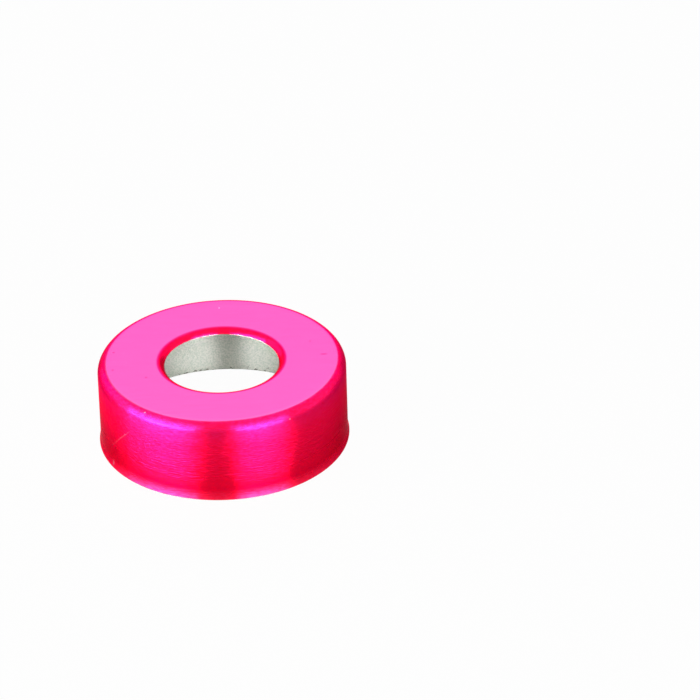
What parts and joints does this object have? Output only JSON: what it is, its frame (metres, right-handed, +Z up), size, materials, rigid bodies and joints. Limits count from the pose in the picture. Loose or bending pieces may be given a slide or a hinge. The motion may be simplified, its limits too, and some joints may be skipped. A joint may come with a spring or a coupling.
{
  "type": "open-top crimp seal",
  "caption": "Open-top crimp seal: a thin round aluminium cap, rose red outside and bare inside, with a curled centre hole, rounded shoulder and slightly flared open rim.",
  "frame": {"origin": "centre of the open rim, on the surface that the seal stands on", "axes": "+Z up through the centre hole; the seal is round about Z"},
  "size_m": [0.0208, 0.0208, 0.0071],
  "materials": {
    "lacquered_aluminium": "rose red transparent lacquer over bright rolled aluminium outside, bare aluminium inside"
  },
  "bodies": {
    "root": {"seal_shell": "lacquered_aluminium"}
  },
  "joints": []
}
